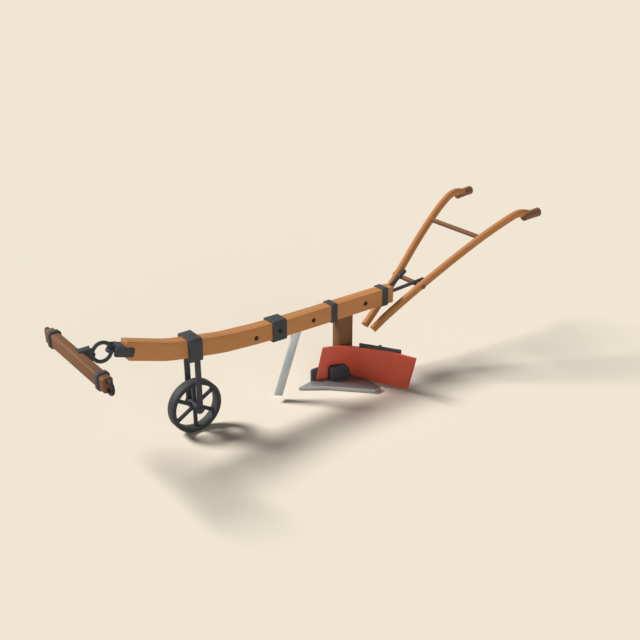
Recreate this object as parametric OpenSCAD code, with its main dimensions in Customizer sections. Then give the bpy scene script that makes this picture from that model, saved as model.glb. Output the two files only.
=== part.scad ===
// Single-furrow walking plough, drawn by one horse.
// X runs forward, Y to the ploughman's left (the side the furrow is turned to), Z up.
// Stations are distances along X from the front face of the wooden standard.
// Every place below is in the plough's own stations; place() moves them to the model's origin,
// which is on the ground under the middle of the whole implement.

/* [Beam] */
// Width of the wooden beam
beam_w = 80; // [70:1:84]
// Depth of the wooden beam
beam_h = 106; // [96:1:110]
// Chamfer along the beam's four edges
beam_chamfer = 6; // [3:1:9]

/* [Gauge wheel] */
// Diameter of the wheel over its rim
wheel_d = 322; // [300:2:326]
// Width of the rim
wheel_w = 60; // [44:2:64]
// Depth of the rim, measured along a spoke
rim_depth = 36; // [24:2:44]
// Number of spokes
spoke_count = 6; // [4:1:8]
// Diameter of one spoke
spoke_d = 20; // [14:1:24]
// Diameter of the axle
axle_d = 22; // [18:1:26]
// Station of the axle
wheel_x = 1019; // [1000:1:1030]
// Distance of the fork bars' outer faces from the middle plane
fork_y = 69; // [64:1:72]

/* [Coulter] */
// Width of the coulter blade
coulter_w = 60; // [48:1:66]
// Thickness of the coulter blade
coulter_t = 12; // [8:1:16]

/* [Body] */
// Width across the wooden standard
standard_w = 56; // [44:2:60]
// Length of the wooden standard along the beam
standard_l = 114; // [90:2:120]
// Thickness of the share blank
share_t = 27; // [20:1:30]
// Thickness of the mouldboard plate
board_t = 13; // [9:1:15]
// Height of the landside bar
landside_h = 99; // [80:1:106]
// Thickness of the landside bar
landside_t = 20; // [14:1:24]

/* [Handles] */
// Diameter of a handle
handle_d = 45; // [38:1:47]
// Diameter of a grip
grip_d = 55; // [52:1:60]
// Diameter of a rung
rung_d = 27; // [20:1:30]

/* [Draught] */
// Middle radius of the draught ring
ring_r = 53.5; // [52:0.5:55]
// Thickness of the draught ring's bar
ring_t = 21; // [18:1:21]
// Length of the whippletree's wood
whippletree_l = 714; // [680:2:760]
// Fore and aft thickness of the whippletree
whippletree_w = 51; // [46:1:53]
// Depth of the whippletree
whippletree_h = 77; // [70:1:80]
// Thickness of the trace rings in its ends
trace_ring_t = 19; // [15:1:20]

/* [Hidden] */

beam_wood = "#b0713c";
dark_wood = "#6e4a30";
iron = "#3d4145";
board_red = "#b03c2a";
share_steel = "#b9bcc0";
coulter_steel = "#a3abad";

// columns: station, height of the beam's centre line
beam_line = [
    [-438, 497], [60, 491], [390, 489], [620, 496], [830, 507], [1166, 557], [1417, 634]
];

wheel_r = wheel_d / 2;
fork_bar_t = 12;
fork_bar_w = 34;
clamp_l = 78;
clamp_h = 138;
clamp_z = 536;

coulter_clamp_x = 451;
coulter_clamp_l = 95;
coulter_clamp_h = 130;
coulter_foot = [441, 34];
coulter_head = [287, 450];
coulter_shank = 56;

strap_l = 44;
strap_t = 6;
strap_over = 7;
standard_strap_x = 41;
tail_strap_x = -366;

landside_y = -40;
landside_front = 152;
landside_back = -420;
frog_top = 116;
frog_front = 60;
frog_back = -110;
frog_y = 41;

// share outline on the ground, columns: station, distance to the left
share_tip = [266, -28];
share_plan = [
    share_tip, [127, 69], [-88, 289], [-141, 284], [-137, 143], [-104, 56],
    [-104, -40], [167, -40]
];

// mouldboard, from the shin back to the wing
// columns: foot station, foot left, foot height, head station, head left, head height
board_stations = [
    [132, -31, 28, 82, -25, 240],
    [58, -13, 28, 37, 9, 250],
    [-2, -4, 28, 4, 43, 257],
    [-50, 10, 28, -24, 76, 261],
    [-89, 34, 28, -53, 111, 264],
    [-108, 67, 28, -78, 150, 266],
    [-127, 120, 28, -107, 195, 269],
    [-160, 205, 27, -146, 255, 270],
    [-213, 297, 19, -190, 335, 269],
    [-270, 387, 17, -250, 474, 266]
];
board_steps = 3;
board_rows = 4;
board_hollow = 8;

// one handle from its foot to the grip, columns: station, distance from the middle plane, height
handle_line = [
    [-271, 40, 299], [-393, 63, 391], [-602, 117, 543], [-817, 184, 700], [-995, 236, 817],
    [-1095, 264, 875], [-1159, 280, 908], [-1203, 289, 928], [-1240, 294, 940],
    [-1280, 298, 944], [-1320, 302, 938], [-1350, 305, 928]
];
lower_rung_at = handle_line[2];
upper_rung_at = handle_line[4];
grip_front = [-1300, 306, 918];
grip_back = [-1441, 314, 928];
handle_sides = 12;
brace_root = [-410, 14, 508];
brace_bend = [-645, 87, 570];
brace_d = 18;

draught_z = 655;
staple_r = 10;
staple_mid_r = 24;
swing_x = 1513;
ring_x = swing_x + ring_r - ring_t / 2 - staple_r - 1;
swivel_x = ring_x + ring_r;
web_front = 1464;
web_t = 14;
web_h = 48;
web_z = 653;
clevis_back = [1384, 622];
clevis_front = [1494, 656];
clevis_t = 10;
clevis_h = 52;
clip_eye_r = 16;
clip_hole_r = 12;
clip_eye_h = 12;
clip_gap_r = 14.5;
clip_half_w = 22;
whippletree_x = 1680;
whippletree_back = whippletree_x - whippletree_w / 2;
whippletree_top = draught_z + whippletree_h / 2;
ferrule_y = 297;
ferrule_l = 22;
ferrule_t = 6;
trace_ring_r = 33;
trace_ring_y = whippletree_l / 2 + 24;
trace_ring_z = draught_z - 3;

front_end = whippletree_x + whippletree_w / 2 + ferrule_t;
back_end = grip_back[0] - 1.8;
origin_x = (front_end + back_end) / 2;
trace_end_y = trace_ring_y + trace_ring_r + trace_ring_t / 2;
wing_y = board_stations[len(board_stations) - 1][4];
origin_y = (wing_y - trace_end_y) / 2;

function unit(v) = v / norm(v);
function lerp(a, b, t) = a + (b - a) * t;
function beam_z(x, i = 0) =
    i >= len(beam_line) - 2 || x < beam_line[i + 1][0]
        ? lerp(beam_line[i][1], beam_line[i + 1][1],
               (x - beam_line[i][0]) / (beam_line[i + 1][0] - beam_line[i][0]))
        : beam_z(x, i + 1);
function mirrored(p, side) = [p[0], side * p[1], p[2]];

module place() {
    translate([-origin_x, -origin_y, 0]) children();
}

// plate lying in the XZ plane, given by its outline, centred on y
module upright_plate(outline, y, t) {
    translate([0, y + t / 2, 0]) rotate([90, 0, 0]) linear_extrude(t) polygon(outline);
}

// rectangle with cut corners, centred
function cut_rect(w, h, c) = [
    [w / 2 - c, -h / 2], [w / 2, -h / 2 + c], [w / 2, h / 2 - c], [w / 2 - c, h / 2],
    [-w / 2 + c, h / 2], [-w / 2, h / 2 - c], [-w / 2, -h / 2 + c], [-w / 2 + c, -h / 2]
];

// box centred at p whose edges along X are cut
module band_box(p, l, w, h, c) {
    translate(p) rotate([90, 0, 90]) linear_extrude(l, center = true) polygon(cut_rect(w, h, c));
}

// round bar between two points
module bar_between(a, b, d) {
    v = b - a;
    l = norm(v);
    translate(a) rotate([0, acos(v[2] / l), atan2(v[1], v[0])]) cylinder(d = d, h = l, $fn = 24);
}

// solid through a list of rings, each running anticlockwise as seen from the last one
module loft(rings) {
    n = len(rings[0]);
    last = len(rings) - 1;
    points = [for (ring = rings) each ring];
    sides = [
        for (i = [0 : last - 1]) for (j = [0 : n - 1])
            let (a = i * n + j, b = i * n + (j + 1) % n)
            each [[a, a + n, b + n], [a, b + n, b]]
    ];
    foot = [for (j = [0 : n - 1]) j];
    head = [for (j = [n - 1 : -1 : 0]) last * n + j];
    polyhedron(points, concat([foot], sides, [head]), convexity = 6);
}

// ring of the beam's chamfered section at one point of its centre line
function beam_dir(i) =
    unit(unit(beam_line[i + 1] - beam_line[i]) + unit(beam_line[i] - beam_line[i - 1]));
function beam_ring(i) = [
    for (p = cut_rect(beam_w, beam_h, beam_chamfer))
        [beam_line[i][0] - p[1] * beam_dir(i)[1], p[0], beam_line[i][1] + p[1] * beam_dir(i)[0]]
];
// the beam's two ends are cut upright
function beam_end_ring(i, inner) =
    let (slope = unit(beam_line[i] - beam_line[inner])[0])
    [for (p = cut_rect(beam_w, beam_h, beam_chamfer))
        [beam_line[i][0], p[0], beam_line[i][1] + p[1] / abs(slope)]];
module beam_solid() {
    last = len(beam_line) - 1;
    loft([
        beam_end_ring(0, 1),
        each [for (i = [1 : last - 1]) beam_ring(i)],
        beam_end_ring(last, last - 1)
    ]);
}

module beam() {
    color(beam_wood) place() difference() {
        beam_solid();
        coulter_solid();
        for (side = [-1, 1]) brace_rod(side);
    }
}

// iron band that fits round the beam
module beam_band(x, l, side_t, h, c) {
    difference() {
        band_box([x, 0, beam_z(x)], l, beam_w + 2 * side_t, h, c);
        beam_solid();
    }
}

module wheel_clamp() {
    color(iron) place() difference() {
        band_box([wheel_x + 4, 0, clamp_z], clamp_l, 2 * fork_y + 4, clamp_h, 8);
        beam_solid();
        fork_bar_solid(1);
        fork_bar_solid(-1);
    }
}

module fork_bar_solid(side) {
    translate([wheel_x, side * (fork_y - fork_bar_t / 2), 0]) rotate([90, 0, 0])
        linear_extrude(fork_bar_t, center = true) {
            translate([-fork_bar_w / 2, wheel_r]) square([fork_bar_w, clamp_z + 40 - wheel_r]);
            translate([0, wheel_r]) circle(r = 27);
        }
}

module axle_hole() {
    translate([wheel_x, 0, wheel_r]) rotate([90, 0, 0])
        cylinder(d = axle_d, h = 3 * fork_y, center = true, $fn = 48);
}

module fork_bar(side) {
    color(iron) place() difference() {
        fork_bar_solid(side);
        axle_hole();
    }
}

module axle() {
    head_t = 9;
    color(iron) place() translate([wheel_x, 0, wheel_r]) rotate([90, 0, 0]) {
        cylinder(d = axle_d, h = 2 * fork_y + 2 * head_t, center = true, $fn = 48);
        for (side = [-1, 1])
            translate([0, 0, side * (fork_y + head_t / 2)])
                cylinder(d = 36, h = head_t, center = true, $fn = 48);
    }
}

module gauge_wheel() {
    hub_r = 29;
    hub_l = 2 * (fork_y - fork_bar_t) - 11;
    inner_r = wheel_r - rim_depth;
    color(iron) place() translate([wheel_x, 0, wheel_r]) rotate([90, 0, 0]) difference() {
        union() {
            rotate_extrude($fn = 96) polygon([
                [inner_r, -wheel_w / 2 + 4], [inner_r + 4, -wheel_w / 2],
                [wheel_r - 3, -wheel_w / 2], [wheel_r, -wheel_w / 2 + 3],
                [wheel_r, wheel_w / 2 - 3], [wheel_r - 3, wheel_w / 2],
                [inner_r + 4, wheel_w / 2], [inner_r, wheel_w / 2 - 4]
            ]);
            cylinder(r = hub_r, h = hub_l, center = true, $fn = 48);
            for (i = [0 : spoke_count - 1])
                rotate([0, 0, 90 + i * 360 / spoke_count])
                    rotate([0, 90, 0]) cylinder(d = spoke_d, h = inner_r + 4, $fn = 32);
        }
        cylinder(d = axle_d + 0.16, h = hub_l + 2, center = true, $fn = 48);
    }
}

module coulter_clamp() {
    color(iron) place() beam_band(coulter_clamp_x, coulter_clamp_l, 13, coulter_clamp_h, 8);
}

module coulter_solid() {
    foot = coulter_foot;
    head = coulter_head;
    along = unit([head[0] - foot[0], head[1] - foot[1]]);
    across = coulter_w / 2 * [along[1], -along[0]];
    top = head + coulter_shank * along;
    upright_plate([foot - across, foot + across, top + across, top - across], 0, coulter_t);
}

module coulter() {
    color(coulter_steel) place() coulter_solid();
}

module standard() {
    color(dark_wood) place() difference() {
        translate([-standard_l, -standard_w / 2, frog_top])
            cube([standard_l, standard_w, beam_line[1][1] - frog_top]);
        beam_solid();
        board_solid(-board_t, [220, 60, 0]);
    }
}

module standard_strap() {
    color(iron) place() beam_band(standard_strap_x, strap_l, strap_t, beam_h + 2 * strap_over, 6);
}

module tail_strap() {
    color(iron) place() beam_band(tail_strap_x, strap_l, strap_t, beam_h + 2 * strap_over, 6);
}

module frog_solid() {
    y0 = landside_y;
    shoulder = frog_top - 32;
    hull() {
        translate([0, 0, share_t]) linear_extrude(shoulder - share_t) polygon([
            [frog_back, y0], [frog_front - 18, y0], [frog_front, frog_y], [frog_back, frog_y]
        ]);
        translate([0, 0, frog_top - 1]) linear_extrude(1) polygon([
            [frog_back, y0], [4, y0], [frog_front - 4, frog_y - 8], [frog_back, frog_y - 8]
        ]);
    }
}
module frog() {
    color(iron) place() frog_solid();
}

module landside_solid() {
    upright_plate([
        [landside_back, 0], [landside_front, 0], [landside_front, landside_h - 9],
        [landside_front - 8, landside_h], [-60, landside_h], [landside_back, 60]
    ], landside_y - landside_t / 2, landside_t);
}

module landside() {
    color(iron) place() landside_solid();
}

module share() {
    tip_t = 19;
    color(share_steel) place() intersection() {
        linear_extrude(share_t) polygon(share_plan);
        // the point is drawn out thin
        upright_plate([
            [-160, 0], [share_tip[0] + 1, 0], [share_tip[0] + 1, tip_t], [152, share_t], [-160, share_t]
        ], 120, 400);
    }
}

// mouldboard surface, u runs from shin to wing and v from foot to head
function board_pick(c, i) = board_stations[max(0, min(len(board_stations) - 1, i))][c];
function catmull(a, b, c, d, t) =
    b + 0.5 * t * (c - a + t * (2 * a - 5 * b + 4 * c - d + t * (3 * (b - c) + d - a)));
function board_value(c, u) =
    let (i = min(floor(u), len(board_stations) - 2))
    catmull(board_pick(c, i - 1), board_pick(c, i), board_pick(c, i + 1), board_pick(c, i + 2), u - i);
function board_edge(u, c) = [for (k = [0 : 2]) board_value(c + k, u)];
function board_normal(u) =
    let (h = 0.05, w = len(board_stations) - 1,
         a = board_edge(max(u - h, 0), 3), b = board_edge(min(u + h, w), 3), t = unit(b - a))
    unit([t[1], -t[0], 0]);
function board_face(u, v) =
    lerp(board_edge(u, 0), board_edge(u, 3), v)
    + board_normal(u) * -board_hollow * 4 * v * (1 - v);

// plate between the surface moved along its normal and the surface moved by a fixed shift
function board_ring(u, back, shift) = concat(
    [for (k = [0 : board_rows]) board_face(u, k / board_rows) + board_normal(u) * back],
    [for (k = [board_rows : -1 : 0]) board_face(u, k / board_rows) + shift]
);
module board_solid(back, shift) {
    n = (len(board_stations) - 1) * board_steps;
    loft([for (i = [0 : n]) board_ring(i / board_steps, back, shift)]);
}

module mouldboard() {
    color(board_red) place() difference() {
        board_solid(-board_t, [0, 0, 0]);
        frog_solid();
        landside_solid();
    }
}

module mouldboard_brace() {
    color(iron) place() difference() {
        translate([-157, 249, 275]) rotate([0, 0, 122]) {
            cube([270, 14, 26], center = true);
            translate([0, 0, 12]) cylinder(d = 20, h = 9, $fn = 32);
        }
        board_solid(-board_t, [60, 20, 0]);
    }
}

module mouldboard_stay() {
    color(iron) place() difference() {
        bar_between([-164, 250, 247], [-339, -45, 39], 18);
        board_solid(-board_t, [0, 0, 0]);
        landside_solid();
    }
}

function handle_ring(i, side) =
    let (last = len(handle_line) - 1,
         a = mirrored(handle_line[max(i - 1, 0)], side),
         b = mirrored(handle_line[min(i + 1, last)], side),
         t = unit(b - a), s = unit(cross([0, 0, 1], t)), u = cross(t, s))
    [for (k = [0 : handle_sides - 1])
        mirrored(handle_line[i], side)
        + handle_d / 2 * (cos(k * 360 / handle_sides) * s + sin(k * 360 / handle_sides) * u)];
module handle_solid(side) {
    loft([for (i = [0 : len(handle_line) - 1]) handle_ring(i, side)]);
}
module rung_solid(at, stub) {
    translate(at[0] * [1, 0, 0] + at[2] * [0, 0, 1]) rotate([90, 0, 0])
        cylinder(d = rung_d, h = 2 * (at[1] + stub), center = true, $fn = 24);
}

module handle(side) {
    color(beam_wood) place() difference() {
        handle_solid(side);
        rung_solid(lower_rung_at, 40);
        rung_solid(upper_rung_at, 0);
    }
}

// turned grip with eased ends
module grip(side) {
    v = mirrored(grip_back - grip_front, side);
    l = norm(v);
    r = grip_d / 2;
    color(dark_wood) place() difference() {
        translate(mirrored(grip_front, side))
            rotate([0, acos(v[2] / l), atan2(v[1], v[0])]) rotate_extrude($fn = 48) polygon([
                [0, 0], [r - 8, 0], [r - 2.5, 2.5], [r, 8],
                [r, l - 8], [r - 2.5, l - 2.5], [r - 8, l], [0, l]
            ]);
        handle_solid(side);
    }
}

// let in where the two braces cross it
module lower_rung() {
    color(dark_wood) place() difference() {
        rung_solid(lower_rung_at, 26);
        for (side = [-1, 1]) brace_rod(side);
    }
}

module upper_rung() {
    color(dark_wood) place() rung_solid(upper_rung_at, 0);
}

module brace_rod(side) {
    bar_between(mirrored(brace_root, side), mirrored(brace_bend, side), brace_d);
}

// rod out of the beam's end grain, turned outward at the handle
module tail_brace(side) {
    bend = mirrored(brace_bend, side);
    color(iron) place() difference() {
        union() {
            brace_rod(side);
            translate(bend) sphere(d = brace_d + 3, $fn = 32);
            bar_between(bend, bend + [-6, side * 34, 6], brace_d);
        }
        handle_solid(side);
    }
}

module clevis() {
    slope = atan2(clevis_front[1] - clevis_back[1], clevis_front[0] - clevis_back[0]);
    l = norm(clevis_front - clevis_back);
    color(iron) place() {
        for (side = [-1, 1])
            translate([clevis_back[0], side * (beam_w + clevis_t) / 2, clevis_back[1]])
                rotate([0, -slope, 0]) translate([l / 2, clevis_t / 2, 0]) rotate([90, 0, 0])
                    linear_extrude(clevis_t) polygon(cut_rect(l, clevis_h, 8));
        translate([web_front - web_t, -beam_w / 2 - 2, web_z - web_h / 2])
            cube([web_t, beam_w + 4, web_h]);
        translate([swing_x - staple_mid_r, 0, draught_z]) {
            rotate([0, 0, -90]) rotate_extrude(angle = 180, $fn = 48)
                translate([staple_mid_r, 0]) circle(r = staple_r, $fn = 32);
            for (side = [-1, 1])
                translate([0, side * staple_mid_r, 0]) rotate([0, -90, 0])
                    cylinder(r = staple_r, h = swing_x - staple_mid_r - web_front + 4, $fn = 32);
        }
    }
}

module draught_ring() {
    color(iron) place() translate([ring_x, 0, draught_z]) rotate([90, 0, 0])
        rotate_extrude($fn = 96) translate([ring_r, 0]) circle(d = ring_t, $fn = 32);
}

// hooked over the bar, with a collar for the ring and two cheeks beside it
module ring_clip() {
    back = whippletree_back;
    top = whippletree_top;
    rear = swivel_x + 5;
    color(iron) place() difference() {
        union() {
            difference() {
                upright_plate([
                    [rear, draught_z - 24], [back - 12, draught_z - 36], [back, draught_z - 36],
                    [back, top], [back + 23, top], [back + 23, top + 8], [rear, top + 8]
                ], 0, 2 * clip_half_w);
                translate([swivel_x, 0, draught_z - 60])
                    cylinder(r = clip_gap_r, h = 120, $fn = 48);
            }
            translate([swivel_x, 0, draught_z])
                cylinder(r = clip_eye_r, h = clip_eye_h, center = true, $fn = 48);
        }
        translate([swivel_x, 0, draught_z])
            cylinder(r = clip_hole_r, h = clip_eye_h + 4, center = true, $fn = 48);
    }
}

module whippletree() {
    color(dark_wood) place() difference() {
        translate([whippletree_x, 0, draught_z]) rotate([90, 0, 0])
            linear_extrude(whippletree_l, center = true)
                polygon(cut_rect(whippletree_w, whippletree_h, 8));
        for (side = [-1, 1]) trace_ring_solid(side);
    }
}

module ferrule(side) {
    w = whippletree_w + 2 * ferrule_t;
    h = whippletree_h + 2 * ferrule_t;
    color(iron) place() translate([whippletree_x, side * ferrule_y, draught_z])
        rotate([90, 0, 0]) linear_extrude(ferrule_l, center = true) difference() {
            polygon(cut_rect(w, h, 10));
            polygon(cut_rect(whippletree_w, whippletree_h, 8));
        }
}

// ring through the wood's end, standing across the draught
module trace_ring_solid(side) {
    translate([whippletree_x, side * trace_ring_y, trace_ring_z]) rotate([0, 90, 0])
        rotate_extrude($fn = 72) translate([trace_ring_r, 0]) circle(d = trace_ring_t, $fn = 32);
}

module trace_ring(side) {
    color(iron) place() trace_ring_solid(side);
}

beam();
wheel_clamp();
fork_bar(1);  // fork_bar_left
fork_bar(-1);  // fork_bar_right
axle();
gauge_wheel();
coulter_clamp();
coulter();
standard();
standard_strap();
tail_strap();
frog();
landside();
share();
mouldboard();
mouldboard_brace();
mouldboard_stay();
handle(1);  // handle_left
handle(-1);  // handle_right
grip(1);  // grip_left
grip(-1);  // grip_right
lower_rung();
upper_rung();
tail_brace(1);  // tail_brace_left
tail_brace(-1);  // tail_brace_right
clevis();
draught_ring();
ring_clip();
whippletree();
ferrule(1);  // ferrule_left
ferrule(-1);  // ferrule_right
trace_ring(1);  // trace_ring_left
trace_ring(-1);  // trace_ring_right
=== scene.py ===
import math

import bmesh
import bpy
from mathutils import Matrix, Vector


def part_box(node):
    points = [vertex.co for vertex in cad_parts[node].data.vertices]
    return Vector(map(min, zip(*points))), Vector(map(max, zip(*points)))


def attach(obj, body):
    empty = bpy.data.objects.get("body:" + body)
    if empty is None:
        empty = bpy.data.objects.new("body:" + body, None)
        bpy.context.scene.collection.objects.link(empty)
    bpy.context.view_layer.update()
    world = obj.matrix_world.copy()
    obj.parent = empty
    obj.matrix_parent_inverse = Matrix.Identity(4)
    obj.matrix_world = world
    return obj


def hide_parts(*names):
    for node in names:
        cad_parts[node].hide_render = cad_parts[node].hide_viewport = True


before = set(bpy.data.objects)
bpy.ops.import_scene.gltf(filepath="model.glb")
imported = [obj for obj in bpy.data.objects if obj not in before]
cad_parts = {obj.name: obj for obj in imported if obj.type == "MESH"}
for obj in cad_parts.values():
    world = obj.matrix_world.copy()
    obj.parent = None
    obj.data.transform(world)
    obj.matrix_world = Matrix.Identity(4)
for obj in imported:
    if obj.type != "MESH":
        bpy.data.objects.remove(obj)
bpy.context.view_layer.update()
print("frame loaded")

# stations run along the beam from the front face of the standard, in metres
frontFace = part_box("standard")[1].x
middlePlane = sum(corner.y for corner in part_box("beam")) / 2


def station(x, y, z):
    return Vector((frontFace + x, middlePlane + y, z))


# short ways to make shader nodes and join them


def feed(tree, socket, value):
    if isinstance(value, bpy.types.NodeSocket):
        tree.links.new(value, socket)
    else:
        socket.default_value = value


def addNode(tree, kind, inputs=None, **values):
    node = tree.nodes.new(kind)
    for key, value in values.items():
        setattr(node, key, value)
    for key, value in (inputs or {}).items():
        feed(tree, node.inputs[key], value)
    return node


def maths(tree, operation, a, b, clamp=False):
    node = addNode(tree, "ShaderNodeMath", {0: a, 1: b}, operation=operation, use_clamp=clamp)
    return node.outputs[0]


def vectorMaths(tree, operation, inputs, output="Vector"):
    node = addNode(tree, "ShaderNodeVectorMath", inputs, operation=operation)
    return node.outputs[output]


def ramp(tree, factor, low, high, start=0.0, end=1.0):
    node = addNode(tree, "ShaderNodeMapRange", {
        "Value": factor, "From Min": low, "From Max": high, "To Min": start, "To Max": end})
    return node.outputs[0]


def mixColour(tree, factor, a, b, blend="MIX"):
    node = addNode(tree, "ShaderNodeMix", data_type="RGBA", blend_type=blend)
    for index, value in ((0, factor), (6, a), (7, b)):  # the colour sockets of this node
        feed(tree, node.inputs[index], value)
    return node.outputs[2]


def stretched(tree, vector, scale, place=(0, 0, 0), turn=(0, 0, 0)):
    node = addNode(tree, "ShaderNodeMapping", {
        "Vector": vector, "Scale": scale, "Location": place, "Rotation": turn})
    return node.outputs[0]


def noise(tree, vector, scale, detail=4.0, roughness=0.5):
    node = addNode(tree, "ShaderNodeTexNoise", {
        "Vector": vector, "Scale": scale, "Detail": detail, "Roughness": roughness})
    return node.outputs[0]


def objectPlace(tree):
    return addNode(tree, "ShaderNodeTexCoord").outputs["Object"]


def faceNormal(tree):
    return addNode(tree, "ShaderNodeNewGeometry").outputs["Normal"]


def edgeWear(tree, radius, low, high):
    # how far a rounded normal turns from the true one, which is only near edges
    rounded = addNode(tree, "ShaderNodeBevel", {"Radius": radius}, samples=6).outputs[0]
    match = vectorMaths(tree, "DOT_PRODUCT", {0: rounded, 1: faceNormal(tree)}, "Value")
    return ramp(tree, match, high, low)


def newMaterial(name):
    material = bpy.data.materials.new(name)
    material.use_nodes = True
    tree = material.node_tree
    tree.nodes.clear()
    shader = addNode(tree, "ShaderNodeBsdfPrincipled")
    addNode(tree, "ShaderNodeOutputMaterial", {"Surface": shader.outputs[0]})
    return material, tree, shader


def setBump(tree, shader, height, depth, strength):
    bump = addNode(tree, "ShaderNodeBump", {
        "Height": height, "Distance": depth, "Strength": strength})
    feed(tree, shader.inputs["Normal"], bump.outputs[0])


# wood: stretches are how much finer the grain is along x, y and z of the sawn timber

grainSettings = {
    "wanderStretch": (0.9, 5, 5), "wanderScale": 1.6, "ringStretch": (0.25, 1, 1),
    "ringWave": 0.314, "ringBend": 1.2, "fibreStretch": (7, 260, 260), "fibreShade": 0.34,
    "poreStretch": (16, 620, 620), "poreShade": 0.45, "patchStretch": (1.5, 8, 8),
    "patchScale": 1.4, "patchShade": 0.3, "edgeRadius": 0.006, "lateRelief": 0.25,
    "poreRelief": 0.5, "relief": 0.0007, "bump": 0.6}


def woodMaterial(name, wood):
    # growth rings and fibres follow the timber, which carries its own straight coordinates
    material, tree, shader = newMaterial(name)
    grain = grainSettings
    straight = addNode(tree, "ShaderNodeAttribute", attribute_name="straight").outputs["Vector"]
    wander = addNode(tree, "ShaderNodeTexNoise", {
        "Vector": stretched(tree, straight, grain["wanderStretch"]),
        "Scale": grain["wanderScale"], "Detail": 2.0}).outputs["Color"]
    swing = vectorMaths(tree, "SUBTRACT", {0: wander, 1: (0.5, 0.5, 0.5)})
    swing = vectorMaths(tree, "SCALE", {0: swing, "Scale": wood["wander"]})
    grown = vectorMaths(tree, "ADD", {0: straight, 1: swing})
    rings = addNode(tree, "ShaderNodeTexWave", {
        "Vector": stretched(tree, grown, grain["ringStretch"], wood["heart"]),
        "Scale": grain["ringWave"] / wood["ring"], "Distortion": grain["ringBend"],
        "Detail": 2.0, "Detail Scale": 1.5}, wave_type="RINGS", rings_direction="X")
    late = ramp(tree, rings.outputs["Fac"], 0.35, 1.0)
    fibre = noise(tree, stretched(tree, grown, grain["fibreStretch"]), 1.0, 6.0, 0.65)
    pores = noise(tree, stretched(tree, grown, grain["poreStretch"]), 1.0, 2.0)
    patch = noise(tree, stretched(tree, straight, grain["patchStretch"]), grain["patchScale"], 3.0)
    dark = maths(tree, "MULTIPLY", late, wood["contrast"])
    tone = mixColour(tree, dark, wood["pale"], wood["deep"])
    dark = ramp(tree, fibre, 0.3, 0.7, 0, grain["fibreShade"])
    tone = mixColour(tree, dark, tone, wood["deep"])
    dark = ramp(tree, patch, 0.35, 0.7, 0, grain["patchShade"])
    tone = mixColour(tree, dark, tone, wood["deep"])
    dark = ramp(tree, pores, 0.64, 0.74, 0, grain["poreShade"])
    tone = mixColour(tree, dark, tone, wood["pore"])
    worn = maths(tree, "MULTIPLY", edgeWear(tree, grain["edgeRadius"], 0.9, 0.995),
                 ramp(tree, fibre, 0.35, 0.6))
    tone = mixColour(tree, maths(tree, "MULTIPLY", worn, wood["wear"]), tone, wood["worn"])
    feed(tree, shader.inputs["Base Color"], tone)
    feed(tree, shader.inputs["Roughness"],
         ramp(tree, fibre, 0.3, 0.7, wood["rough"] - 0.08, wood["rough"] + 0.1))
    shader.inputs["Specular IOR Level"].default_value = wood["shine"]
    relief = maths(tree, "SUBTRACT", fibre, maths(tree, "MULTIPLY", late, grain["lateRelief"]))
    relief = maths(tree, "SUBTRACT", relief, ramp(tree, pores, 0.62, 0.72, 0, grain["poreRelief"]))
    setBump(tree, shader, relief, grain["relief"], grain["bump"])
    return material


oiledOak = woodMaterial("oiledOak", {
    "pale": (0.515, 0.232, 0.08, 1), "deep": (0.345, 0.143, 0.045, 1),
    "pore": (0.18, 0.07, 0.024, 1), "worn": (0.6, 0.3, 0.12, 1), "wear": 0.4,
    "ring": 0.0075, "heart": (0, 0.035, 0.13), "wander": 0.02, "contrast": 0.55,
    "rough": 0.55, "shine": 0.3})
bentAsh = woodMaterial("bentAsh", {
    "pale": (0.51, 0.23, 0.082, 1), "deep": (0.31, 0.125, 0.04, 1),
    "pore": (0.17, 0.066, 0.024, 1), "worn": (0.54, 0.26, 0.11, 1), "wear": 0.25,
    "ring": 0.012, "heart": (0, 0.05, 0.02), "wander": 0.02, "contrast": 0.58,
    "rough": 0.6, "shine": 0.2})
darkOak = woodMaterial("darkOak", {
    "pale": (0.2, 0.097, 0.048, 1), "deep": (0.118, 0.055, 0.026, 1),
    "pore": (0.055, 0.026, 0.014, 1), "worn": (0.26, 0.135, 0.07, 1), "wear": 0.1,
    "ring": 0.007, "heart": (0, 0.02, 0.09), "wander": 0.015, "contrast": 0.5,
    "rough": 0.65, "shine": 0.15})
handWornWood = woodMaterial("handWornWood", {
    "pale": (0.198, 0.097, 0.053, 1), "deep": (0.118, 0.056, 0.031, 1),
    "pore": (0.058, 0.028, 0.015, 1), "worn": (0.27, 0.145, 0.085, 1), "wear": 0.4,
    "ring": 0.005, "heart": (0, 0.02, 0.03), "wander": 0.01, "contrast": 0.45,
    "rough": 0.5, "shine": 0.25})


# iron: a black scale with dents of the hammer, a little rust and brighter edges

forgeSettings = {
    "flakeScale": 90.0, "cloudScale": 11.0, "rustColour": (0.105, 0.045, 0.022, 1),
    "edgeRadius": 0.004, "edgeShare": 0.55, "dentBlend": 0.8, "scaleRelief": 0.3,
    "relief": 0.0012, "bump": 0.45}


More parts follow.
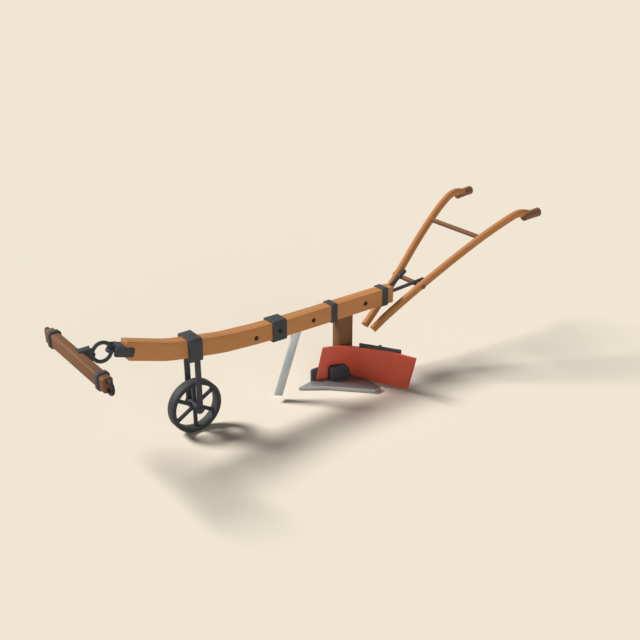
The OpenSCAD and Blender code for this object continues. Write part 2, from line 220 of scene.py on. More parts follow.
def ironMaterial(name, iron):
    material, tree, shader = newMaterial(name)
    forge = forgeSettings
    place = objectPlace(tree)
    scale = noise(tree, place, forge["flakeScale"], 8.0, 0.6)
    cloud = noise(tree, place, forge["cloudScale"])
    hammer = addNode(tree, "ShaderNodeTexVoronoi", {
        "Vector": place, "Scale": iron["hammer"], "Smoothness": forge["dentBlend"]},
        feature="SMOOTH_F1")
    tone = mixColour(tree, ramp(tree, scale, 0.35, 0.7), iron["colour"], iron["scale"])
    tone = mixColour(tree, ramp(tree, cloud, 0.4, 0.7, 0, 0.5), tone, iron["cloud"])
    rust = maths(tree, "MULTIPLY", ramp(tree, cloud, 0.56, 0.7), ramp(tree, scale, 0.5, 0.66))
    tone = mixColour(tree, maths(tree, "MULTIPLY", rust, iron["rust"]), tone, forge["rustColour"])
    worn = maths(tree, "MULTIPLY", edgeWear(tree, forge["edgeRadius"], 0.86, 0.99),
                 ramp(tree, scale, 0.42, 0.62))
    worn = maths(tree, "MULTIPLY", worn, forge["edgeShare"])
    tone = mixColour(tree, worn, tone, iron["bright"])
    feed(tree, shader.inputs["Base Color"], tone)
    shader.inputs["Metallic"].default_value = iron["metal"]
    shader.inputs["Specular IOR Level"].default_value = iron["shine"]
    feed(tree, shader.inputs["Roughness"],
         ramp(tree, scale, 0.3, 0.7, iron["rough"] - 0.08, iron["rough"] + 0.12))
    relief = maths(tree, "ADD", maths(tree, "MULTIPLY", scale, forge["scaleRelief"]),
                   hammer.outputs["Distance"])
    setBump(tree, shader, relief, forge["relief"], forge["bump"])
    return material


forgedIron = ironMaterial("forgedIron", {
    "colour": (0.06, 0.067, 0.076, 1), "scale": (0.044, 0.049, 0.056, 1),
    "cloud": (0.07, 0.075, 0.081, 1), "bright": (0.12, 0.127, 0.136, 1),
    "rust": 0.22, "hammer": 42.0, "metal": 0.05, "rough": 0.62, "shine": 0.08})
castIron = ironMaterial("castIron", {
    "colour": (0.044, 0.047, 0.054, 1), "scale": (0.032, 0.035, 0.041, 1),
    "cloud": (0.051, 0.054, 0.06, 1), "bright": (0.11, 0.115, 0.125, 1),
    "rust": 0.2, "hammer": 130.0, "metal": 0.1, "rough": 0.6, "shine": 0.18})
boltIron = ironMaterial("boltIron", {
    "colour": (0.014, 0.015, 0.016, 1), "scale": (0.01, 0.011, 0.012, 1),
    "cloud": (0.018, 0.019, 0.02, 1), "bright": (0.05, 0.052, 0.053, 1),
    "rust": 0.4, "hammer": 160.0, "metal": 0.1, "rough": 0.6, "shine": 0.2})
ringIron = ironMaterial("ringIron", {
    "colour": (0.026, 0.028, 0.029, 1), "scale": (0.019, 0.02, 0.021, 1),
    "cloud": (0.031, 0.032, 0.032, 1), "bright": (0.07, 0.072, 0.074, 1),
    "rust": 0.5, "hammer": 90.0, "metal": 0.15, "rough": 0.6, "shine": 0.2})


# paint: faded in clouds, rubbed along the board and chipped at its edges

coatSettings = {
    "cloudScale": 5.0, "dustScale": 140.0, "rubStretch": (9, 9, 190), "chipScale": 75.0,
    "edgeRadius": 0.005, "dustRelief": 0.2, "rubRelief": 0.25, "relief": 0.0005, "bump": 0.6}


def paintMaterial(name, paint):
    material, tree, shader = newMaterial(name)
    coat = coatSettings
    place = objectPlace(tree)
    cloud = noise(tree, place, coat["cloudScale"], 3.0)
    dust = noise(tree, place, coat["dustScale"], 5.0, 0.6)
    # soil slides along the board, so the rubbing is drawn out that way
    along = stretched(tree, place, coat["rubStretch"], turn=(0, 0, paint["flow"]))
    rub = noise(tree, along, 1.0, 6.0, 0.7)
    tone = mixColour(tree, ramp(tree, cloud, 0.3, 0.7), paint["colour"], paint["faded"])
    tone = mixColour(tree, ramp(tree, rub, 0.55, 0.75, 0, 0.35), tone, paint["rubbed"])
    tone = mixColour(tree, ramp(tree, dust, 0.6, 0.75, 0, 0.2), tone, paint["dust"])
    chip = maths(tree, "MULTIPLY", edgeWear(tree, coat["edgeRadius"], 0.85, 0.99),
                 ramp(tree, noise(tree, place, coat["chipScale"], 6.0, 0.65), 0.5, 0.56))
    tone = mixColour(tree, maths(tree, "MULTIPLY", chip, paint["chips"]), tone, paint["under"])
    feed(tree, shader.inputs["Base Color"], tone)
    feed(tree, shader.inputs["Roughness"],
         ramp(tree, rub, 0.3, 0.7, paint["rough"] - 0.05, paint["rough"] + 0.12))
    relief = maths(tree, "SUBTRACT", maths(tree, "MULTIPLY", dust, coat["dustRelief"]), chip)
    relief = maths(tree, "SUBTRACT", relief, maths(tree, "MULTIPLY", rub, coat["rubRelief"]))
    setBump(tree, shader, relief, coat["relief"], coat["bump"])
    return material


redPaint = paintMaterial("redPaint", {
    "colour": (0.52, 0.073, 0.036, 1), "faded": (0.48, 0.07, 0.036, 1),
    "rubbed": (0.56, 0.1, 0.055, 1), "dust": (0.35, 0.095, 0.062, 1),
    "under": (0.09, 0.06, 0.052, 1), "chips": 0.75, "flow": 0.7, "rough": 0.42})


# steel: brushed and scored by the soil, and tinted away from its point with painted light and
# shade

soilSettings = {
    "brushStretch": (6, 420, 420), "scoreStretch": (2.5, 150, 150), "cloudScale": 9.0,
    # the side ramp picks out the side faces that get a painted highlight
    "edgeRadius": 0.004, "edgeShare": 0.5, "paintedSideFrom": 0.8, "paintedSideTo": 0.45,
    "relief": 0.0003, "bump": 0.5}


def steelMaterial(name, steel):
    material, tree, shader = newMaterial(name)
    soil = soilSettings
    place = objectPlace(tree)
    brushed = noise(tree, stretched(tree, place, soil["brushStretch"], turn=steel["lay"]),
                    1.0, 4.0, 0.6)
    scored = noise(tree, stretched(tree, place, soil["scoreStretch"], turn=steel["lay"]), 1.0, 2.0)
    cloud = noise(tree, place, soil["cloudScale"])
    tone = mixColour(tree, ramp(tree, brushed, 0.3, 0.7), steel["colour"], steel["pale"])
    tone = mixColour(tree, ramp(tree, scored, 0.6, 0.72, 0, 0.4), tone, steel["dark"])
    tone = mixColour(tree, ramp(tree, cloud, 0.45, 0.75, 0, 0.4), tone, steel["dark"])
    worn = maths(tree, "MULTIPLY", edgeWear(tree, soil["edgeRadius"], 0.86, 0.99),
                 soil["edgeShare"])
    tone = mixColour(tree, worn, tone, steel["pale"])
    # away from the point the tone is multiplied by the behind tint, which paints light and shade
    # there
    away = vectorMaths(tree, "DISTANCE", {0: place, 1: steel["point"]}, "Value")
    behind = mixColour(tree, 1.0, tone, steel["behind"], "MULTIPLY")
    tone = mixColour(tree, ramp(tree, away, steel["near"], steel["far"]), tone, behind)
    if "ground" in steel:  # the side faces of a level blade are lightened towards the edge tone: a painted highlight
        level = addNode(tree, "ShaderNodeSeparateXYZ", {0: faceNormal(tree)}).outputs["Z"]
        side = ramp(tree, level, soil["paintedSideFrom"], soil["paintedSideTo"], 0, steel["ground"])
        tone = mixColour(tree, side, tone, steel["edge"])
    feed(tree, shader.inputs["Base Color"], tone)
    shader.inputs["Metallic"].default_value = steel["metal"]
    feed(tree, shader.inputs["Roughness"],
         ramp(tree, brushed, 0.3, 0.7, steel["rough"] - 0.06, steel["rough"] + 0.1))
    setBump(tree, shader, maths(tree, "ADD", brushed, scored), soil["relief"], soil["bump"])
    return material


shareSteel = steelMaterial("shareSteel", {
    "colour": (0.28, 0.29, 0.31, 1), "pale": (0.37, 0.38, 0.4, 1), "dark": (0.17, 0.172, 0.18, 1),
    "metal": 0.6, "rough": 0.4, "lay": (0, 0, 0.75), "point": station(0.266, -0.028, 0.03),
    # behind darkens and reddens the share away from its point: painted shade and a painted
    # reflection of the red board
    "near": 0.03, "far": 0.14, "behind": (0.72, 0.68, 0.69, 1),
    # the share's side faces are lightened towards the edge tone: a painted highlight
    "ground": 0.85, "edge": (0.35, 0.37, 0.395, 1)})
coulterSteel = steelMaterial("coulterSteel", {
    "colour": (0.38, 0.425, 0.45, 1), "pale": (0.455, 0.505, 0.53, 1),
    "dark": (0.295, 0.33, 0.35, 1), "metal": 0.45, "rough": 0.45, "lay": (0, 0.35, 0),
    # behind lightens the coulter away from its point: painted light on its upper blade
    "point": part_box("coulter")[0], "near": 0.1, "far": 0.4, "behind": (1.31, 1.36, 1.38, 1)})
print("materials made")


# helpers that shape a piece and hand it over, in metres and degrees

meshSettings = {
    "weld": 0.00002, "cutMerge": 0.00001, "spinMerge": 0.000005, "flatAngle": 0.6,
    "edgeAngle": 30, "cornerAngle": 38, "endAngle": 60}


def finishPiece(form, name, material, body, replaced=(), smooth=40):
    bmesh.ops.recalc_face_normals(form, faces=form.faces)
    mesh = bpy.data.meshes.new(name)
    form.to_mesh(mesh)
    form.free()
    mesh.materials.append(material)
    mesh.shade_smooth()
    mesh.set_sharp_from_angle(angle=math.radians(smooth))
    piece = bpy.data.objects.new(name, mesh)
    bpy.context.collection.objects.link(piece)
    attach(piece, body)
    if replaced:
        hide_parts(*replaced)


def sharpEdges(form, kind="edgeAngle"):
    limit = math.radians(meshSettings[kind])
    return [edge for edge in form.edges
            if len(edge.link_faces) == 2 and edge.calc_face_angle() > limit]


def roundEdges(form, width, segments=2, edges=None):
    bmesh.ops.bevel(form, geom=edges if edges is not None else sharpEdges(form), offset=width,
                    offset_type="OFFSET", segments=segments, profile=0.5, affect="EDGES",
                    clamp_overlap=True, material=-1)


def solidOf(node, swell=0.0):
    # a node's own solid, welded into one clean skin and, where asked, filled out a little
    form = bmesh.new()
    form.from_mesh(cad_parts[node].data)
    bmesh.ops.remove_doubles(form, verts=form.verts, dist=meshSettings["weld"])
    bmesh.ops.dissolve_limit(form, angle_limit=math.radians(meshSettings["flatAngle"]),
                             verts=form.verts, edges=form.edges)
    if swell:
        form.normal_update()
        steps = [vert.normal * vert.calc_shell_factor() for vert in form.verts]
        for vert, step in zip(form.verts, steps):
            vert.co += step * swell
    return form


def straightLayer(form):
    layers = form.verts.layers.float_vector
    return layers.get("straight") or layers.new("straight")


def storeStraight(form, along, pith=(0, 0, 0)):
    # coordinates in the sawn timber: x with the grain, y and z across it
    layer = straightLayer(form)
    axes = {"x": (0, 1, 2), "y": (1, 0, 2), "z": (2, 1, 0)}[along]
    for vert in form.verts:
        vert[layer] = Vector([vert.co[axis] - pith[axis] for axis in axes])


def roundBar(radius, length, sides):
    part = bmesh.new()
    bmesh.ops.create_cone(part, cap_ends=True, segments=sides, radius1=radius, radius2=radius,
                          depth=length)
    return part


def towards(start, end):
    # frame at start whose z axis runs to end
    turn = (end - start).to_track_quat("Z", "Y").to_matrix().to_4x4()
    return Matrix.Translation(start) @ turn


def spun(profile, steps, closed=False):
    # profile of (radius, height) pairs turned about z
    part = bmesh.new()
    verts = [part.verts.new((radius, 0, height)) for radius, height in profile]
    ends = verts[1:] + verts[:1] if closed else verts[1:]
    edges = [part.edges.new(pair) for pair in zip(verts, ends)]
    bmesh.ops.spin(part, geom=verts + edges, cent=(0, 0, 0), axis=(0, 0, 1), dvec=(0, 0, 0),
                   angle=2 * math.pi, steps=steps, use_merge=True)
    bmesh.ops.remove_doubles(part, verts=part.verts, dist=meshSettings["spinMerge"])
    return part


def cutAcross(form, axis, places):
    # extra joints across a bar, so that it can bend or taper
    for place in places:
        bmesh.ops.bisect_plane(form, geom=form.verts[:] + form.edges[:] + form.faces[:],
                               dist=meshSettings["cutMerge"], plane_co=axis * place, plane_no=axis)


def addPart(form, part, matrix=Matrix.Identity(4)):
    bmesh.ops.transform(part, matrix=matrix, verts=part.verts)
    mesh = bpy.data.meshes.new("part")
    part.to_mesh(mesh)
    part.free()
    form.from_mesh(mesh)
    bpy.data.meshes.remove(mesh)


# the beam is cut straight and then bent, so its grain follows the bow; line is (x, middle z)

beamSettings = {
    "width": 0.08, "depth": 0.106, "arris": 0.006, "arrisSteps": 3, "joints": 90,
    "easing": 0.045, "easingSteps": 9, "slopeReach": 0.01,
    "line": [(-0.438, 0.497), (0.06, 0.491), (0.39, 0.489), (0.62, 0.496), (0.83, 0.507),
             (1.166, 0.557), (1.417, 0.634)]}


def beamHeight(x):
    line = beamSettings["line"]
    for (x0, z0), (x1, z1) in zip(line, line[1:]):
        if x <= x1 or (x1, z1) == line[-1]:
            return z0 + (z1 - z0) * (x - x0) / (x1 - x0)


def easedHeight(x):
    reach, count = beamSettings["easing"], beamSettings["easingSteps"]
    steps = [reach * (2 * i / (count - 1) - 1) for i in range(count)]
    return sum(beamHeight(x + step) for step in steps) / count


def makeBeam():
    start, end = beamSettings["line"][0][0], beamSettings["line"][-1][0]
    form = bmesh.new()
    size = Matrix.Diagonal((end - start, beamSettings["width"], beamSettings["depth"], 1))
    bmesh.ops.create_cube(form, size=1,
                          matrix=Matrix.Translation(((start + end) / 2, 0, 0)) @ size)
    roundEdges(form, beamSettings["arris"], beamSettings["arrisSteps"])
    joints = beamSettings["joints"]
    cutAcross(form, Vector((1, 0, 0)),
              [start + (end - start) * i / joints for i in range(1, joints)])
    storeStraight(form, "x")
    reach = beamSettings["slopeReach"]
    for vert in form.verts:
        x, y, z = vert.co
        slope = math.atan2(easedHeight(x + reach) - easedHeight(x - reach), 2 * reach)
        vert.co = station(x, y, easedHeight(x) + z / math.cos(slope))
    finishPiece(form, "beamTimber", oiledOak, "plough", ["beam"], smooth=32)


makeBeam()
print("beam made")


# handles, grips and rungs; the lines are given for the left side and mirrored for the right

handleSettings = {
    "radius": 0.0248, "sides": 28, "steps": 6, "endRound": 0.003, "endSteps": 3,
    "line": [(-0.271, 0.04, 0.299), (-0.393, 0.063, 0.391), (-0.602, 0.117, 0.543),
             (-0.817, 0.184, 0.7), (-0.995, 0.236, 0.817), (-1.095, 0.264, 0.875),
             (-1.159, 0.28, 0.908), (-1.203, 0.289, 0.928), (-1.24, 0.294, 0.94),
             (-1.28, 0.298, 0.944), (-1.32, 0.302, 0.938), (-1.35, 0.305, 0.928)]}
gripSettings = {
    "front": (-1.3, 0.306, 0.918), "back": (-1.441, 0.314, 0.928), "radius": 0.0298,
    "waist": 0.0287, "steps": 48, "endRound": 0.008, "endAngles": range(0, 91, 18),
    "rings": [0.12, 0.22, 0.32, 0.42, 0.5, 0.58, 0.68, 0.78, 0.88]}
rungSettings = {
    "radius": 0.0155, "sides": 32, "endRound": 0.0025, "endSteps": 3,
    "rungLower": {"node": "lower_rung", "at": (-0.602, 0.543), "half": 0.1455},
    "rungUpper": {"node": "upper_rung", "at": (-0.995, 0.817), "half": 0.236}}


def onCurve(points, t):
    # smooth curve through the points, t counts them
    last = len(points) - 1
    i = min(int(t), last - 1)
    p0, p1, p2, p3 = (points[max(0, min(last, k))] for k in (i - 1, i, i + 1, i + 2))
    u = t - i
    return 0.5 * (2 * p1 + (p2 - p0) * u + (2 * p0 - 5 * p1 + 4 * p2 - p3) * u * u
                  + (3 * p1 - p0 - 3 * p2 + p3) * u ** 3)


def makeHandle(side, label):
    # a straight bar, one unit long for each step of the path, is laid along the path
    points = [station(x, side * y, z) for x, y, z in handleSettings["line"]]
    count = (len(points) - 1) * handleSettings["steps"]
    path = [onCurve(points, i / handleSettings["steps"]) for i in range(count + 1)]
    form = roundBar(handleSettings["radius"], count, handleSettings["sides"])
    bmesh.ops.translate(form, vec=(0, 0, count / 2), verts=form.verts)
    cutAcross(form, Vector((0, 0, 1)), range(1, count))
    layer = straightLayer(form)
    travelled = [0.0]
    for a, b in zip(path, path[1:]):
        travelled.append(travelled[-1] + (b - a).length)
    for vert in form.verts:
        i = round(vert.co.z)
        vert[layer] = Vector((travelled[i], vert.co.x, vert.co.y))
        along = (path[min(i + 1, count)] - path[max(i - 1, 0)]).normalized()
        sideways = Vector((0, 0, 1)).cross(along).normalized()
        up = along.cross(sideways)
        vert.co = path[i] + sideways * vert.co.x + up * vert.co.y
    roundEdges(form, handleSettings["endRound"], handleSettings["endSteps"],
               sharpEdges(form, "endAngle"))
    finishPiece(form, "handle" + label, bentAsh, "plough",
                ["handle_" + label.lower()], smooth=50)


def makeGrip(side, label):
    # turned, with rounded ends and a slight waist
    front = station(*(Vector(gripSettings["front"]) * Vector((1, side, 1))))
    back = station(*(Vector(gripSettings["back"]) * Vector((1, side, 1))))
    length = (back - front).length
    radius, waist, end = (gripSettings[key] for key in ("radius", "waist", "endRound"))
    angles = [math.radians(angle) for angle in gripSettings["endAngles"]]
    ease = [(math.sin(a) * end, end * (1 - math.cos(a))) for a in angles]
    profile = [(0, 0)] + [(radius - end + x, z) for x, z in ease]
    profile += [(waist + (radius - waist) * abs(2 * t - 1) ** 2, length * t)
                for t in gripSettings["rings"]]
    profile += [(radius - end + x, length - z) for x, z in reversed(ease)] + [(0, length)]
    form = spun(profile, gripSettings["steps"])
    storeStraight(form, "z")
    bmesh.ops.transform(form, matrix=towards(front, back), verts=form.verts)
    finishPiece(form, "grip" + label, handWornWood, "plough",
                ["grip_" + label.lower()], smooth=50)


def makeRung(name):
    rung = rungSettings[name]
    form = roundBar(rungSettings["radius"], 2 * rung["half"], rungSettings["sides"])
    roundEdges(form, rungSettings["endRound"], rungSettings["endSteps"],
               sharpEdges(form, "endAngle"))
    storeStraight(form, "z")
    x, z = rung["at"]
    bmesh.ops.transform(form, verts=form.verts, matrix=Matrix.Translation(station(x, 0, z))
                        @ Matrix.Rotation(math.radians(90), 4, "X"))
    finishPiece(form, name, darkOak, "plough", [rung["node"]], smooth=50)


for side, label in ((1, "Left"), (-1, "Right")):
    makeHandle(side, label)
    makeGrip(side, label)
makeRung("rungLower")
makeRung("rungUpper")
print("handles, grips and rungs made")


# timbers that keep their sawn shape

timberSettings = {
    "standardTimber": {"node": "standard", "along": "z", "edge": 0.003, "swell": 0,
                       "body": "plough"},
    "whippletreeBar": {"node": "whippletree", "along": "y", "edge": 0.003, "swell": 0.002,
                       "body": "whippletree"}}

for name, timber in timberSettings.items():
    form = solidOf(timber["node"], timber["swell"])
    roundEdges(form, timber["edge"], edges=sharpEdges(form, "cornerAngle"))
    low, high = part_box(timber["node"])
    storeStraight(form, timber["along"], (low + high) / 2)
    finishPiece(form, name, darkOak, timber["body"], [timber["node"]])
print("standard and whippletree made")


# ironwork, steel and paint taken from the solids, with their edges eased;
# a row without a body rides on the plough, and one without a material is in forged iron

ironSettings = {
    "wheelClamp": {"node": "wheel_clamp", "edge": 0.0022},
    "forkBarLeft": {"node": "fork_bar_left", "edge": 0.0016},
    "forkBarRight": {"node": "fork_bar_right", "edge": 0.0016},
    "coulterClamp": {"node": "coulter_clamp", "edge": 0.0022},
    "standardStrap": {"node": "standard_strap", "edge": 0.0014},
    "tailStrap": {"node": "tail_strap", "edge": 0.0014},
    "tailBraceLeft": {"node": "tail_brace_left", "edge": 0.001, "swell": 0.0025},
    "tailBraceRight": {"node": "tail_brace_right", "edge": 0.001, "swell": 0.0025},
    "frogCasting": {"node": "frog", "edge": 0.004, "material": castIron, "slot": "wheel_iron"},
    "landsideBar": {"node": "landside", "edge": 0.0018},
    "boardBrace": {"node": "mouldboard_brace", "edge": 0.0016},
    "boardStay": {"node": "mouldboard_stay", "edge": 0.0008},
    "shareBlade": {"node": "share", "edge": 0.0018, "material": shareSteel,
                   "slot": "share_steel"},
    "coulterBlade": {"node": "coulter", "edge": 0.0016, "material": coulterSteel,
                     "slot": "coulter_steel"},
    "mouldboardPlate": {"node": "mouldboard", "edge": 0.002, "material": redPaint,
                        "slot": "red_paint"},
    "clevisIron": {"node": "clevis", "edge": 0.0018},
    "draughtRing": {"node": "draught_ring", "edge": 0, "body": "ring"},
    "ringClip": {"node": "ring_clip", "edge": 0.0018, "body": "whippletree"},
    "ferruleLeft": {"node": "ferrule_left", "edge": 0.0014, "swell": 0.004,
                    "body": "whippletree"},
    "ferruleRight": {"node": "ferrule_right", "edge": 0.0014, "swell": 0.004,
                     "body": "whippletree"},
    "traceRingLeft": {"node": "trace_ring_left", "edge": 0, "material": ringIron,
                      "body": "whippletree"},
    "traceRingRight": {"node": "trace_ring_right", "edge": 0, "material": ringIron,
                       "body": "whippletree"}}

for name, iron in ironSettings.items():
    form = solidOf(iron["node"], iron.get("swell", 0))
    if iron["edge"]:
        roundEdges(form, iron["edge"], edges=sharpEdges(form, "cornerAngle"))
    finishPiece(form, name, iron.get("material", forgedIron), iron.get("body", "plough"),
                [iron["node"]])


# a bare plate that bridges the clevis arms, just under their top edges; arms is their middle line

bridgeSettings = {
    "arms": [(1.384, 0.622), (1.494, 0.656)], "armHalf": 0.026, "from": 1.4185, "to": 1.4495,
    "half": 0.0398, "thickness": 0.007, "below": 0.001, "edge": 0.001}


def makeBridge():
    bridge = bridgeSettings
    (x0, z0), (x1, z1) = bridge["arms"]
    slope = math.atan2(z1 - z0, x1 - x0)
    middle = (bridge["from"] + bridge["to"]) / 2
    height = z0 + (middle - x0) * math.tan(slope)
    rise = bridge["armHalf"] - bridge["below"] - bridge["thickness"] / 2
    place = station(middle - rise * math.sin(slope), 0, height + rise * math.cos(slope))
    length = (bridge["to"] - bridge["from"]) / math.cos(slope)
    size = Matrix.Diagonal((length, 2 * bridge["half"], bridge["thickness"], 1))
    form = bmesh.new()
    bmesh.ops.create_cube(form, size=1, matrix=Matrix.Translation(place)
                          @ Matrix.Rotation(-slope, 4, "Y") @ size)
    roundEdges(form, bridge["edge"])
    finishPiece(form, "clevisBridge", forgedIron, "plough", smooth=32)


makeBridge()
print("ironwork made")


# the gauge wheel is turned about z and then laid on its axle, which runs across

wheelSettings = {
    "rimDepth": 0.027, "rimWidth": 0.06, "ease": 0.004, "easeMiddle": 0.0012, "rimSteps": 96,
    "hubRadius": 0.029, "hubFrom": 0.024, "hubCollar": 0.0245, "collarLength": 0.018,
    "hubEase": 0.002, "hubSteps": 64, "spokes": 6, "spokeFoot": 0.0135, "spokeMiddle": 0.012,
    "spokeSides": 24, "spokeJoints": 12, "inHub": 0.006, "inHubAndRim": 0.01}
axleSettings = {
    "radius": 0.011, "ease": 0.002, "washer": 0.018, "washerThickness": 0.003,
    "washerEase": 0.001, "steps": 48, "nut": 0.0145, "nutEase": 0.0008, "endShows": 0.002}


def makeSpoke(length, start):
    # thinner in the middle than at its two feet
    wheel = wheelSettings
    spoke = roundBar(1, length, wheel["spokeSides"])
    joints = wheel["spokeJoints"]
    cutAcross(spoke, Vector((0, 0, 1)), [length * (k / joints - 0.5) for k in range(1, joints)])
    for vert in spoke.verts:
        flare = abs(2 * vert.co.z / length) ** 4
        girth = wheel["spokeMiddle"] + (wheel["spokeFoot"] - wheel["spokeMiddle"]) * flare
        vert.co = Vector((vert.co.x * girth, vert.co.y * girth, vert.co.z + start + length / 2))
    return spoke


def makeWheel():
    low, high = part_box("gauge_wheel")
    centre, radius = (low + high) / 2, (high.z - low.z) / 2
    wheel = wheelSettings
    inner, half = radius - wheel["rimDepth"], wheel["rimWidth"] / 2
    ease, middle = wheel["ease"], wheel["easeMiddle"]
    form = bmesh.new()
    rim = [(inner, -half + ease), (inner + middle, -half + middle), (inner + ease, -half),
           (radius - ease, -half), (radius - middle, -half + middle), (radius, -half + ease),
           (radius, half - ease), (radius - middle, half - middle), (radius - ease, half),
           (inner + ease, half), (inner + middle, half - middle), (inner, half - ease)]
    addPart(form, spun(rim, wheel["rimSteps"], True))
    hub, bore, boss = (high.y - low.y) / 2, axleSettings["radius"], wheel["hubRadius"]
    collar, step, shoulder, lip = (wheel[key] for key in (
        "hubCollar", "collarLength", "hubFrom", "hubEase"))
    barrel = [(bore, -hub), (collar - lip, -hub), (collar, -hub + lip), (collar, -hub + step),
              (boss, -hub + shoulder), (boss, hub - shoulder), (collar, hub - step),
              (collar, hub - lip), (collar - lip, hub), (bore, hub)]
    addPart(form, spun(barrel, wheel["hubSteps"], True))
    for i in range(wheel["spokes"]):
        spoke = makeSpoke(inner - boss + wheel["inHubAndRim"], boss - wheel["inHub"])
        turn = Matrix.Rotation(math.radians(90) + 2 * math.pi * i / wheel["spokes"], 4, "Z")
        addPart(form, spoke, turn @ Matrix.Rotation(math.radians(90), 4, "Y"))
    bmesh.ops.transform(form, verts=form.verts, matrix=Matrix.Translation(centre)
                        @ Matrix.Rotation(math.radians(90), 4, "X"))
    finishPiece(form, "gaugeWheel", castIron, "wheel", ["gauge_wheel"])


def makeAxle():
    low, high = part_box("axle")
    centre, half = (low + high) / 2, (high.y - low.y) / 2
    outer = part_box("fork_bar_left")[1].y - centre.y
    axle = axleSettings
    r, ease, washer, thick, lip = (axle[key] for key in (
        "radius", "ease", "washer", "washerThickness", "washerEase"))
    profile = [(0, -half), (r - ease, -half), (r, -half + ease), (r, -outer - thick),
               (washer - lip, -outer - thick), (washer, -outer - thick + lip), (washer, -outer),
               (r, -outer), (r, outer), (washer, outer), (washer, outer + thick - lip),
               (washer - lip, outer + thick), (r, outer + thick), (r, half - ease),
               (r - ease, half), (0, half)]
    form = spun(profile, axle["steps"])
    height = half - outer - thick - axle["endShows"]
    for side in (-1, 1):
        nut = roundBar(axle["nut"] / math.cos(math.pi / 6), height, 6)
        roundEdges(nut, axle["nutEase"])
        addPart(form, nut, Matrix.Translation((0, 0, side * (outer + thick + height / 2))))
    bmesh.ops.transform(form, verts=form.verts, matrix=Matrix.Translation(centre)
                        @ Matrix.Rotation(math.radians(90), 4, "X"))
    finishPiece(form, "axleBar", forgedIron, "plough", ["axle"], smooth=35)


makeWheel()
makeAxle()
print("wheel and axle made")


# bolts: heads on the left faces, washers and square nuts on the right; places are (x, z)

boltSettings = {
    "headRadius": 0.0145, "headHeight": 0.007, "headSink": 0.002, "headSteps": 32,
    "washerRadius": 0.017, "washerThickness": 0.0025, "washerEase": 0.0006,
    "nutHalf": 0.0115, "nutHeight": 0.01, "nutTurn": 0.35, "nutEase": 0.0009, "seat": 0.0005,
    "threadRadius": 0.006, "threadShows": 0.004, "threadEase": 0.001, "threadSteps": 24,
    "hexHalf": 0.0125, "hexHeight": 0.009, "lowRadius": 0.009, "lowHeight": 0.0045,
    "throughBeam": [(0.611, 0.484), (0.198, 0.487), (-0.207, 0.493)],
    "coulterClamp": (0.451, 0.491),
    "clevis": [(1.4, 0.629), (1.47, 0.651)]}


def outwards(x, y, z):
    # frame on a side face, its z axis pointing away from the middle plane
    turn = Matrix.Rotation(math.radians(-90 if y > 0 else 90), 4, "X")
    return Matrix.Translation(station(x, y, z)) @ turn


def domeHead(form, matrix, radius, height):
    sink = boltSettings["headSink"]
    dome = [(radius * math.cos(a), height * math.sin(a)) for a in
            [math.radians(angle) for angle in range(0, 90, 15)]]
    profile = [(0, -sink), (radius, -sink)] + dome + [(0, height)]
    addPart(form, spun(profile, boltSettings["headSteps"]), matrix)


def flatPrism(form, matrix, half, height, sides):
    part = roundBar(half / math.cos(math.pi / sides), height, sides)
    roundEdges(part, boltSettings["nutEase"])
    addPart(form, part, matrix @ Matrix.Translation((0, 0, height / 2 - boltSettings["seat"])))


def nutAndWasher(form, matrix):
    bolt = boltSettings
    radius, flat, lip, seat = (bolt[key] for key in (
        "washerRadius", "washerThickness", "washerEase", "seat"))
    washer = [(0, -seat), (radius, -seat), (radius, flat - lip), (radius - lip, flat), (0, flat)]
    addPart(form, spun(washer, bolt["headSteps"]), matrix)
    above = matrix @ Matrix.Translation((0, 0, flat)) @ Matrix.Rotation(bolt["nutTurn"], 4, "Z")
    flatPrism(form, above, bolt["nutHalf"], bolt["nutHeight"], 4)
    thread, ease = bolt["threadRadius"], bolt["threadEase"]
    top = bolt["nutHeight"] + bolt["threadShows"]
    stem = [(0, 0), (thread, 0), (thread, top - ease), (thread - ease, top), (0, top)]
    addPart(form, spun(stem, bolt["threadSteps"]), above)


def makeBolts():
    bolt = boltSettings
    form = bmesh.new()
    beamSide = beamSettings["width"] / 2
    for x, z in bolt["throughBeam"]:
        domeHead(form, outwards(x, beamSide, z), bolt["headRadius"], bolt["headHeight"])
        nutAndWasher(form, outwards(x, -beamSide, z))
    finishPiece(form, "beamBolts", boltIron, "plough", smooth=35)
    form = bmesh.new()
    x, z = bolt["coulterClamp"]
    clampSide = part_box("coulter_clamp")[1].y - middlePlane
    flatPrism(form, outwards(x, clampSide, z), bolt["hexHalf"], bolt["hexHeight"], 6)
    nutAndWasher(form, outwards(x, -clampSide, z))
    finishPiece(form, "coulterClampBolt", boltIron, "plough", smooth=35)
    form = bmesh.new()
    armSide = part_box("clevis")[1].y - middlePlane
    for side in (-1, 1):
        for x, z in bolt["clevis"]:
            domeHead(form, outwards(x, side * armSide, z), bolt["lowRadius"], bolt["lowHeight"])
    finishPiece(form, "clevisBolts", forgedIron, "plough", smooth=35)


makeBolts()
print("bolts made")


# floor, lamps, world and camera; azimuth and elevation are in degrees

studioSettings = {
    "floorSize": 160.0, "floorColour": (0.775, 0.72, 0.628, 1),
    "backdrop": (0.879, 0.801, 0.658, 1), "ambient": (1.0, 0.985, 0.96, 1),
    "ambientStrength": 0.04,
    "key": {"from": (0.416, -0.594, 0.688), "strength": 4.6, "angle": 0.33,
            "colour": (1, 0.97, 0.92)},
    "fill": {"from": (0.3, 0.93, 0.12), "strength": 1.7, "angle": 0.8,
             "colour": (1, 0.98, 0.96)},
    "cameraPlace": (3.3128, 4.2632, 2.8548), "azimuth": 143.174, "elevation": 24.265,
    "lens": 53.6, "sensor": 36.0, "clipEnd": 500.0}


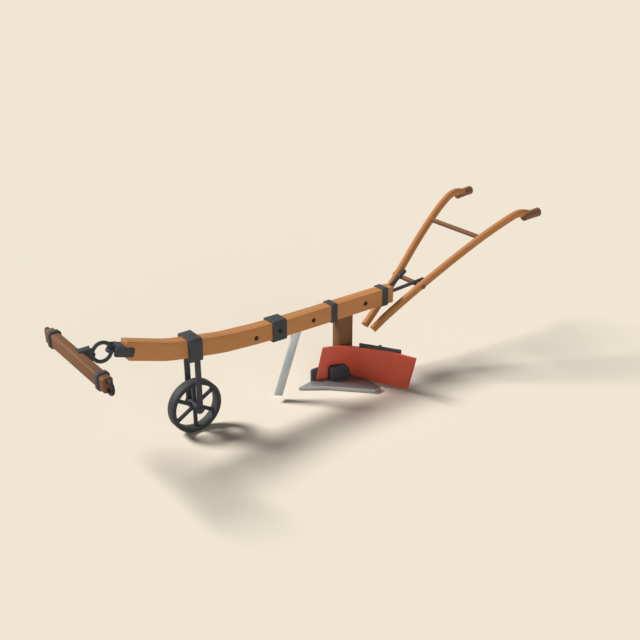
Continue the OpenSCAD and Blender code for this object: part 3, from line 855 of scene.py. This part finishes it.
def makeFloor():
    material, tree, shader = newMaterial("studioFloor")
    shader.inputs["Base Color"].default_value = studioSettings["floorColour"]
    shader.inputs["Roughness"].default_value = 1.0
    shader.inputs["Specular IOR Level"].default_value = 0.0
    form = bmesh.new()
    bmesh.ops.create_grid(form, x_segments=1, y_segments=1, size=studioSettings["floorSize"] / 2)
    mesh = bpy.data.meshes.new("floor")
    form.to_mesh(mesh)
    form.free()
    mesh.materials.append(material)
    floor = bpy.data.objects.new("floor", mesh)
    bpy.context.collection.objects.link(floor)


def makeSun(name, sun):
    lamp = bpy.data.lights.new(name, "SUN")
    lamp.energy, lamp.angle, lamp.color = sun["strength"], sun["angle"], sun["colour"]
    holder = bpy.data.objects.new(name, lamp)
    holder.rotation_euler = Vector(sun["from"]).to_track_quat("Z", "Y").to_euler()
    bpy.context.collection.objects.link(holder)


def makeWorld():
    # the backdrop is what is seen and mirrored, all else gets a faint ambient light
    world = bpy.data.worlds.new("studio")
    bpy.context.scene.world = world
    world.use_nodes = True
    tree = world.node_tree
    tree.nodes.clear()
    path = addNode(tree, "ShaderNodeLightPath")
    seen = maths(tree, "ADD", path.outputs["Is Camera Ray"], path.outputs["Is Glossy Ray"], True)
    seen = maths(tree, "ADD", seen, path.outputs["Is Transmission Ray"], True)
    around = addNode(tree, "ShaderNodeBackground", {
        "Color": studioSettings["ambient"], "Strength": studioSettings["ambientStrength"]})
    behind = addNode(tree, "ShaderNodeBackground", {
        "Color": studioSettings["backdrop"], "Strength": 1.0})
    mixed = addNode(tree, "ShaderNodeMixShader", {
        0: seen, 1: around.outputs[0], 2: behind.outputs[0]})
    addNode(tree, "ShaderNodeOutputWorld", {"Surface": mixed.outputs[0]})


def makeCamera():
    lens = bpy.data.cameras.new("camera")
    lens.lens, lens.sensor_width = studioSettings["lens"], studioSettings["sensor"]
    lens.clip_end = studioSettings["clipEnd"]
    camera = bpy.data.objects.new("camera", lens)
    a, e = math.radians(studioSettings["azimuth"]), math.radians(studioSettings["elevation"])
    back = Vector((math.sin(a) * math.cos(e), -math.cos(a) * math.cos(e), math.sin(e)))
    camera.location = station(*studioSettings["cameraPlace"])
    camera.rotation_euler = (-back).to_track_quat("-Z", "Y").to_euler()
    bpy.context.collection.objects.link(camera)
    bpy.context.scene.camera = camera


makeFloor()
makeSun("keySun", studioSettings["key"])
makeSun("fillSun", studioSettings["fill"])
makeWorld()
makeCamera()
bpy.context.scene.view_settings.view_transform = "Standard"
print("studio made")
